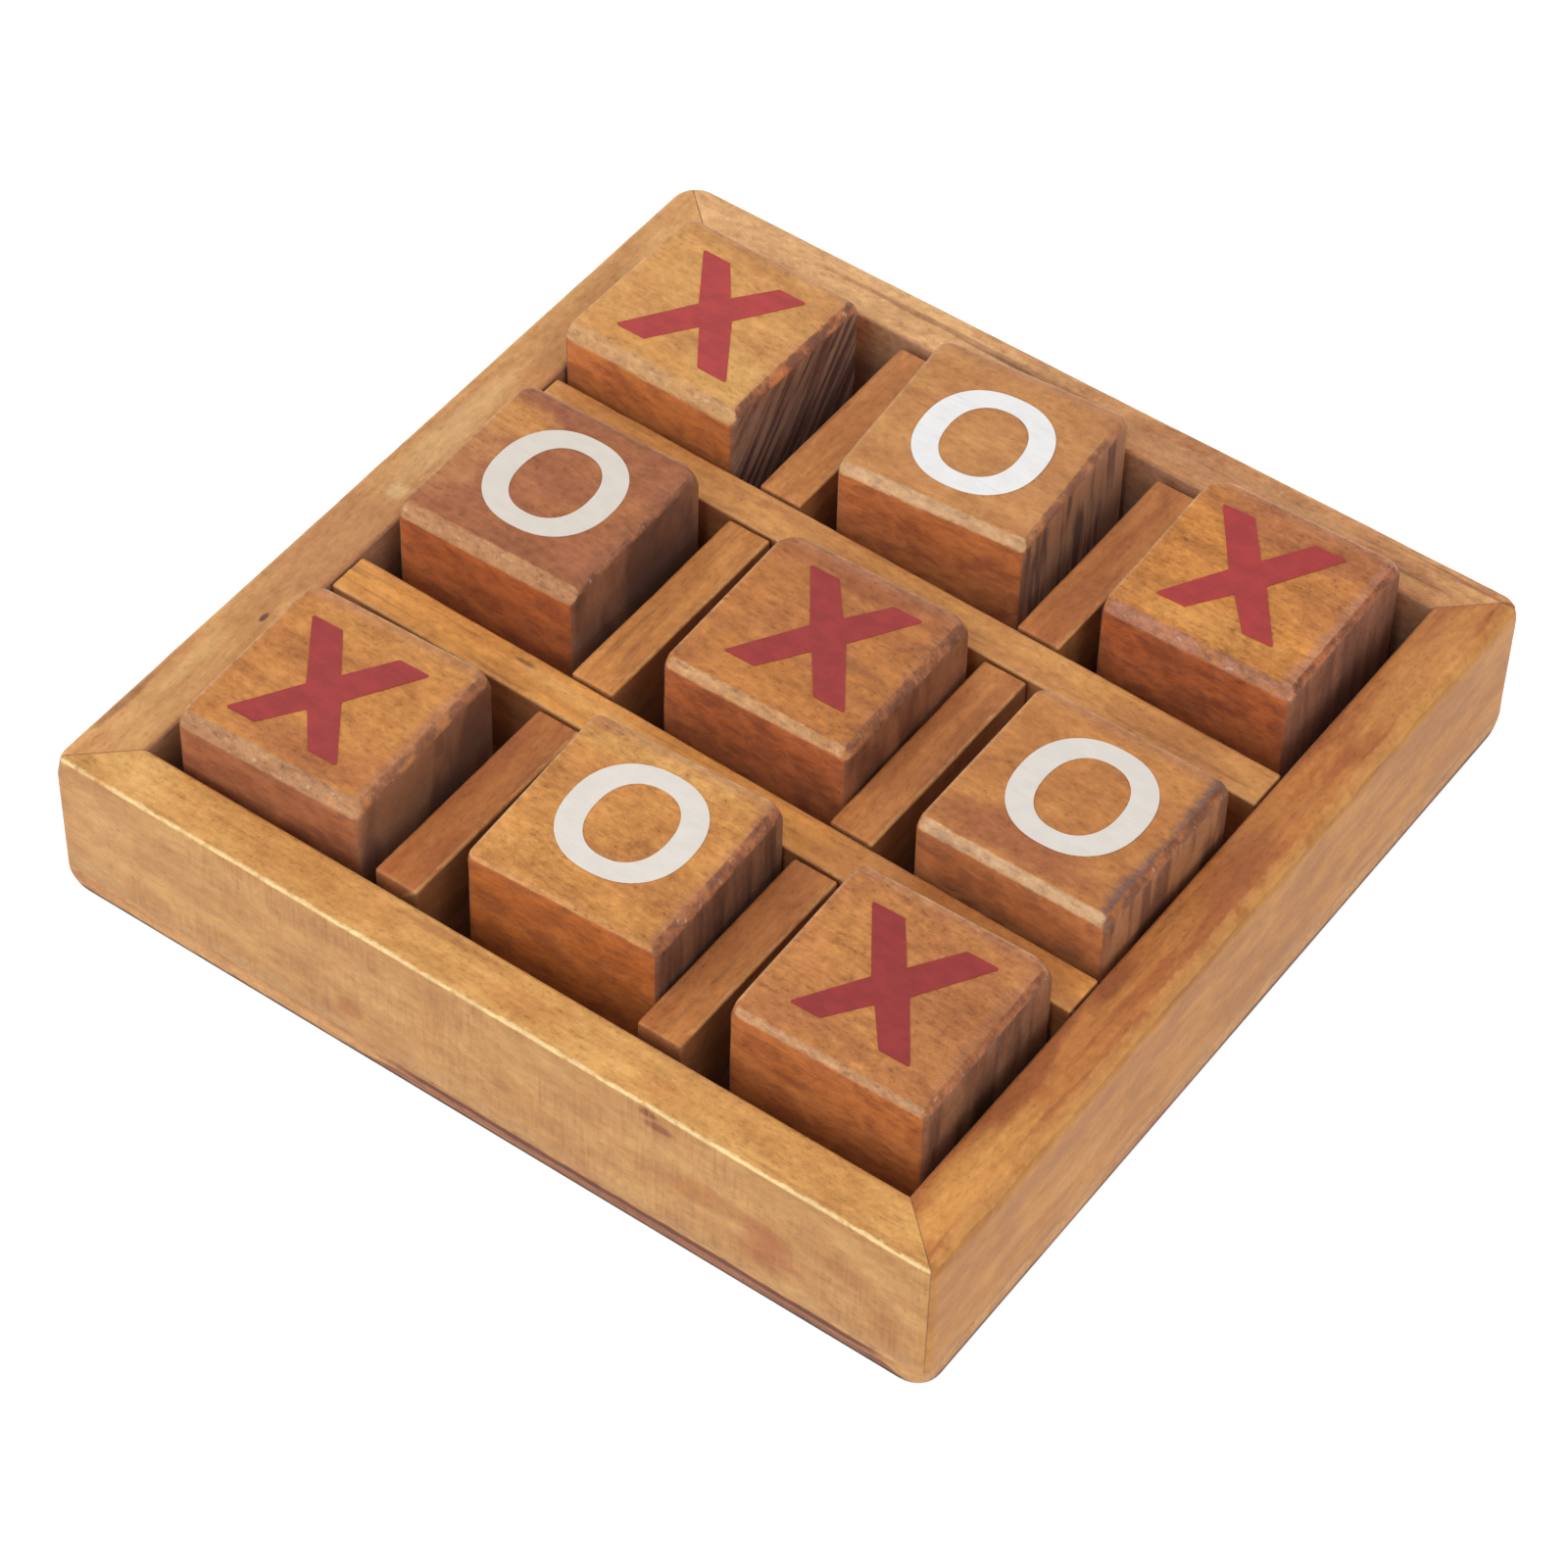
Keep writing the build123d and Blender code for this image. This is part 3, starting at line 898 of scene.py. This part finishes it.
for name, own in CUBES.items():
    node = name + "_block"
    look = SimpleNamespace(**{**CUBE_LOOK, **dict(zip(PALETTE, own["palette"])), **own})
    centre, half, turn = lie_of(node)
    cuts = {
        "rest": 0.5,
        (0, -1, 1): look.worn_width + 0.1,
        (1, 0, 1): look.right_rim,
        (0, 1, 1): look.back_rim,
        (-1, 0, 1): 0.4,
    }
    uprights = dict.fromkeys(CORNER_SIDES, UPRIGHT_RADIUS)
    knocks = dict(zip(CORNER_SIDES, look.knocks))
    points, faces = sanded_box(
        half, cuts, uprights, knocks, rounding=0.08, margin=3.2, rim_steps=10,
        spacing=(SPACING,) * 3, seed=look.seed, ragged=0.12,
    )
    points = placed(points, centre, turn)
    piece = mesh_piece(name + "_cube_wood", points, faces.tolist(), name + "_cube", node)
    piece.data.materials.append(cube_wood(name + "_grain", centre, turn, half[0], look))


# ---- the marks

PAINTS = {
    "back_left": (187, 64, 62),
    "back_middle": (245, 244, 243),
    "back_right": (179, 54, 54),
    "middle_left": (228, 218, 207),
    "centre": (167, 53, 51),
    "middle_right": (230, 222, 213),
    "front_left": (171, 56, 55),
    "front_middle": (233, 225, 215),
    "front_right": (160, 48, 47),
}

# brightness of the duller parts of each kind of paint, and the colour of its thin ones
MARK_PAINTS = {"x": (0.82, (140, 70, 52)), "o": (0.95, (214, 200, 186))}

for name, tone in PAINTS.items():
    mark = "x" if name + "_x_mark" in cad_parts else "o"
    node = name + "_" + mark + "_mark"
    low, high = box_mm(node)
    centre = (low + high) / 2
    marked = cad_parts[node]
    marked.data.materials.clear()
    seed = CUBES[name]["seed"] + 3
    marked.data.materials.append(paint(node + "_paint", centre, seed, tone, *MARK_PAINTS[mark]))


# ---- the tray

# what every rail and divider shares unless its own look says otherwise
BAR_LOOK = dict(
    line=(170, 110, 66), line_gap=1.5, line_share=0.4, face=(192, 142, 84), face_dark=(178, 124, 70),
    scratch=(160, 110, 62), scratch_share=0.3, face_figure=0.75, comb_depth=0.35, end=(150, 100, 64),
    end_share=0.8, face_line_share=0.35, pit=(120, 76, 54), pit_share=0.35, wander=0.3, top_starts=0.0,
    # The pale arris colour is a worn edge, painted brighter as a highlight.
    turn_soft=0.3, rim=(240, 200, 140), rim_place=0.0, rim_width=0.5, inside=(186, 140, 112),
    # The greyer colour on the next line, used low on the inner faces, is painted shade.
    deep=(150, 122, 110), inside_share=0.7, inner=(150, 98, 60), inner_share=0.35,
    mitre_line=(138, 92, 60), mitre_share=0.75, mitre=0, patches=(), face_patches=(),
)

END_WIDTH = box_mm("front_rail")[1][1] + HALF_SIDE
SIDE_WIDTH = HALF_SIDE - box_mm("right_rail")[0][0]
INNER_ARRIS = 0.5
# radius of each upright corner, in the order of CORNER_SIDES, and what is worn off at its top
CORNER_RADII = (0.7, 1.6, 0.9, 4.1)
CORNER_WEAR = (1.8, 0, 2.0, 0)

# the rails in the order in which they follow each other round the tray
RAILS = {
    "front_rail": dict(
        arris=0.5, wobble=0.35, seed=105, top=(222, 165, 93), top_dark=(210, 151, 83),
        # The front arris's pale line is a worn edge, painted brighter as a highlight.
        rim=(240, 208, 150), rim_share=0.85, rim_width=0.3, rim_place=0.1, wander=0.5, turn_soft=0.25,
        face=(185, 136, 76), face_dark=(173, 120, 62), face_line_share=0.12, figure=1, face_figure=0.7,
        comb_depth=0.9, scratch=(164, 116, 66),
        patches=[
            (-26, 1, 13, 3.2, (203, 136, 72), 0.6), (-8, 2.6, 8, 0.8, (164, 104, 58), 0.6),
            (5, -0.6, 5, 2, (200, 132, 70), 0.6), (27, -1, 4, 1.6, (200, 130, 70), 0.6),
            (-60, 0, 5, 3, (226, 172, 100), 0.6), (48, 0.6, 9, 2, (204, 140, 76), 0.4),
        ],
        face_patches=[
            (46, -4, 4.4, 4.4, (154, 84, 36), 0.75), (36, -1, 6, 2.2, (166, 102, 42), 0.6),
            (58, 0.5, 5, 2.2, (160, 98, 42), 0.65), (64, -6, 2.4, 4.4, (158, 98, 44), 0.65),
            (28.6, 7.6, 2.3, 0.9, (132, 68, 26), 0.95), (27, 9.3, 1.4, 0.7, (118, 62, 26), 0.95),
            (-25, 7, 8, 2.2, (170, 112, 58), 0.45), (-21, -5.5, 2, 1.6, (158, 88, 38), 0.7),
            (3.5, -2.8, 1.2, 1, (150, 96, 46), 0.6), (-64, -1, 6, 9, (200, 150, 92), 0.3),
            (10, -6, 14, 1.4, (166, 112, 60), 0.4),
        ],
        chips=[(27, 0.9, 0.8), (-38, 1.6, 0.3), (52, 1, 0.3)],
    ),
    "right_rail": dict(
        arris=2.2, wobble=0.1, seed=117, top=(197, 125, 62), top_dark=(171, 98, 50), line=(146, 86, 52),
        line_gap=1.7, top_starts=0.6, turn_soft=1.3, wander=2.4, rim=(226, 166, 96), rim_place=0.6,
        rim_width=1.2, rim_share=0.35, face=(187, 124, 48), face_dark=(168, 106, 40),
        face_line_share=0.25, scratch_share=0.15, figure=0.8, face_figure=0.65, comb_depth=0.1,
        scratch=(150, 98, 50),
        patches=[
            (-19, 3.4, 5, 1.6, (146, 80, 44), 0.75), (7, 0.6, 8, 3.2, (164, 94, 50), 0.75),
            (-55, 0, 12, 3, (222, 156, 82), 0.8), (52, 0, 14, 2.6, (212, 144, 78), 0.75),
        ],
        face_patches=[(-30, 6, 26, 1.6, (166, 100, 50), 0.5), (-42, -3, 18, 1.6, (200, 140, 72), 0.4)],
    ),
    "back_rail": dict(
        arris=0.8, wobble=0.05, seed=129, top=(213, 154, 98), top_dark=(195, 130, 83), line=(136, 88, 60),
        line_share=0.65, line_gap=1.6, rim_share=0.2, figure=1.05,
        patches=[
            (46, 0, 42, 9, (233, 180, 122), 0.85), (20, -0.9, 24, 0.5, (162, 112, 75), 0.65),
            (12, -0.4, 6.5, 0.3, (138, 88, 61), 0.8), (-26, 0.4, 18, 2.6, (192, 137, 93), 0.6),
        ],
    ),
    "left_rail": dict(
        arris=0.8, wobble=0.05, seed=141, top=(218, 161, 100), top_dark=(202, 141, 85),
        line=(180, 126, 82), line_share=0.35, line_gap=2, figure=0.78, rim_share=0.2,
        patches=[
            (34.5, 1.6, 0.85, 0.36, (96, 66, 54), 0.9), (18, 0, 11, 9, (190, 130, 82), 0.75),
            (-8, 0, 13, 2.4, (226, 180, 122), 0.6), (5, 1, 1.6, 1.4, (236, 196, 140), 0.6),
            (57, -3.6, 5, 0.7, (160, 104, 66), 0.7), (48, -1, 7, 1.2, (228, 180, 118), 0.5),
        ],
    ),
}

for order, (node, rail) in enumerate(RAILS.items()):
    low, high = box_mm(node)
    turn = 90 * order
    width, neighbour = (END_WIDTH, SIDE_WIDTH) if order % 2 == 0 else (SIDE_WIDTH, END_WIDTH)
    following = (order + 1) % 4
    points, faces = rail_points(
        width, neighbour, low[2], high[2], rail["arris"], INNER_ARRIS,
        (CORNER_RADII[order], CORNER_RADII[following]), (CORNER_WEAR[order], CORNER_WEAR[following]),
        rail["seed"], rail["wobble"], rail.get("chips", ()),
    )
    points = placed(points, (0, 0, 0), turn)
    piece = mesh_piece(node + "_wood", points, faces, "tray", node, crease=50)
    look = SimpleNamespace(**{**BAR_LOOK, **rail, "mitre": neighbour / width})
    middle = np.array([[0, width / 2 - HALF_SIDE, (low[2] + high[2]) / 2]])
    centre = placed(middle, (0, 0, 0), turn)[0]
    half = (HALF_SIDE, width / 2, (high[2] - low[2]) / 2)
    piece.data.materials.append(bar_wood(node + "_grain", centre, turn, half, look))

DIVIDER_LOOK = dict(
    face=(176, 116, 72), face_dark=(150, 96, 60), line=(156, 98, 58), line_share=0.5, line_gap=1.3,
    scratch_share=0.1, rim=(228, 178, 114), rim_place=0.1, rim_width=0.25, rim_share=0.4,
    inner=(150, 96, 60), inside=(176, 126, 92), inside_share=1.0, end_share=0.7, wander=0.2, figure=0.85,
)
DIVIDERS = {
    "front_long_divider": dict(
        seed=201, top=(237, 163, 80), top_dark=(216, 145, 71),
        patches=[
            (-31.1, 1.5, 1.6, 0.35, (120, 76, 50), 0.8), (40, 0, 24, 9, (190, 122, 66), 0.8),
            (-20, 0.6, 12, 1.2, (230, 172, 100), 0.5),
        ],
    ),
    "rear_long_divider": dict(seed=213, top=(219, 155, 86), top_dark=(201, 136, 78)),
    "front_left_divider": dict(seed=225, top=(190, 116, 58), top_dark=(174, 99, 49)),
    "front_right_divider": dict(seed=237, top=(195, 123, 63), top_dark=(179, 108, 56)),
    "middle_left_divider": dict(seed=249, top=(216, 144, 76), top_dark=(198, 127, 65)),
    "middle_right_divider": dict(seed=261, top=(202, 129, 69), top_dark=(183, 112, 61)),
    "rear_left_divider": dict(seed=273, top=(214, 143, 78), top_dark=(193, 122, 65)),
    "rear_right_divider": dict(seed=285, top=(198, 124, 65), top_dark=(180, 106, 56)),
}

for node, own in DIVIDERS.items():
    centre, half, turn = lie_of(node)
    points, faces = sanded_box(
        half, {"rest": 0.3}, dict.fromkeys(CORNER_SIDES, 0.35), {}, rounding=0.05, margin=1.0,
        rim_steps=6, spacing=(1.2, 1.2, 3.0), seed=own["seed"], ragged=0.5, corner_extra=0.1,
    )
    points = placed(points, centre, turn)
    piece = mesh_piece(node + "_wood", points, faces.tolist(), "tray", node)
    look = SimpleNamespace(**{**BAR_LOOK, **DIVIDER_LOOK, **own})
    if half[1] > half[0]:
        turn, half = turn + 90, half[[1, 0, 2]]
    piece.data.materials.append(bar_wood(node + "_grain", centre, turn, half, look))

base_low, base_high = box_mm("base_board")
points, faces = base_points(
    base_low[2], base_high[2], CORNER_RADII, bottom_radius=1.0, corner_radius=6.5
)
base = mesh_piece("base_board_wood", points, faces, "tray", "base_board", crease=50)
BASE_LOOK = SimpleNamespace(
    seed=301, light=(160, 102, 64), dark=(134, 82, 54), line=(100, 60, 46), floor=(176, 148, 136),
    pale=(190, 138, 84), pale_dark=(176, 122, 72), joint=(88, 46, 37), joint_share=0.9,
    # The nearly black colour at the board's foot is painted shade of its rounded underside.
    edge=(50, 27, 23), line_rise=1.9, edge_height=1.15, upper_height=2.85,
)
base.data.materials.append(base_wood("base_board_grain", BASE_LOOK))


# ---- floor, light and camera

# From here on lengths are metres, except in the floor's material.
FLOOR_REACH = 4
FLOOR_DROP = 0.0002
WHITE = (1, 1, 1, 1)


def floor_material():
    """Pale paper with a faint speckle and a glow of its own."""
    s = Shader("floor_paper", 0)
    speckle = s.noise((10, 10, 10), 3)
    s.surface.inputs["Emission Color"].default_value = WHITE
    s.surface.inputs["Emission Strength"].default_value = 0.8
    colour = s.mix(speckle, (0.40, 0.40, 0.40, 1), (0.42, 0.42, 0.42, 1))
    return s.finish(colour, 0.8, speckle, bump=0.001, specular=0.1)


floor_mesh = bpy.data.meshes.new("floor")
corners = [(x * FLOOR_REACH, y * FLOOR_REACH, 0) for x, y in CORNER_SIDES]
floor_mesh.from_pydata(corners, [], [(0, 1, 2, 3)])
floor = bpy.data.objects.new("floor", floor_mesh)
floor.location.z = -FLOOR_DROP
floor_mesh.materials.append(floor_material())
bpy.context.scene.collection.objects.link(floor)

world = bpy.data.worlds.new("studio")
world.use_nodes = True
background = world.node_tree.nodes["Background"]
background.inputs["Color"].default_value = WHITE
background.inputs["Strength"].default_value = 0.75
bpy.context.scene.world = world


def softbox(name, place, target, size, power):
    """Square area light aimed at a target."""
    light = bpy.data.lights.new(name, "AREA")
    light.shape = "SQUARE"
    light.size = size
    light.energy = power
    lamp = bpy.data.objects.new(name, light)
    lamp.location = place
    lamp.rotation_euler = (Vector(target) - Vector(place)).to_track_quat("-Z", "Y").to_euler()
    bpy.context.scene.collection.objects.link(lamp)


LIT_POINT = (0, 0, 0.02)
softbox("key", (-0.25, -0.9, 0.7), LIT_POINT, 1.1, 5.5)
softbox("fill", (0.95, -0.2, 0.5), LIT_POINT, 0.8, 1.3)

# The camera stands at the front right, looking down; roll is a small tilt of the frame.
CAMERA_PLACE = Vector((0.269007, -0.394531, 0.546379))
CAMERA_YAW = -0.602029
CAMERA_PITCH = 0.84904
CAMERA_ROLL = 0.031
SENSOR = 36.0
FOCAL_LENGTH = 121.322

forward = Vector((
    math.cos(CAMERA_PITCH) * math.sin(CAMERA_YAW),
    math.cos(CAMERA_PITCH) * math.cos(CAMERA_YAW),
    -math.sin(CAMERA_PITCH),
))
right = forward.cross(Vector((0, 0, 1))).normalized()
above = right.cross(forward)
turned_right = right * math.cos(CAMERA_ROLL) + above * math.sin(CAMERA_ROLL)
turned_above = above * math.cos(CAMERA_ROLL) - right * math.sin(CAMERA_ROLL)
rotation = Matrix((turned_right, turned_above, -forward)).transposed()

camera_data = bpy.data.cameras.new("camera")
camera_data.sensor_width = SENSOR
camera_data.lens = FOCAL_LENGTH
camera = bpy.data.objects.new("camera", camera_data)
camera.matrix_world = Matrix.Translation(CAMERA_PLACE) @ rotation.to_4x4()
bpy.context.scene.collection.objects.link(camera)
bpy.context.scene.camera = camera

bpy.context.scene.view_settings.view_transform = "Standard"
bpy.context.scene.view_settings.look = "None"
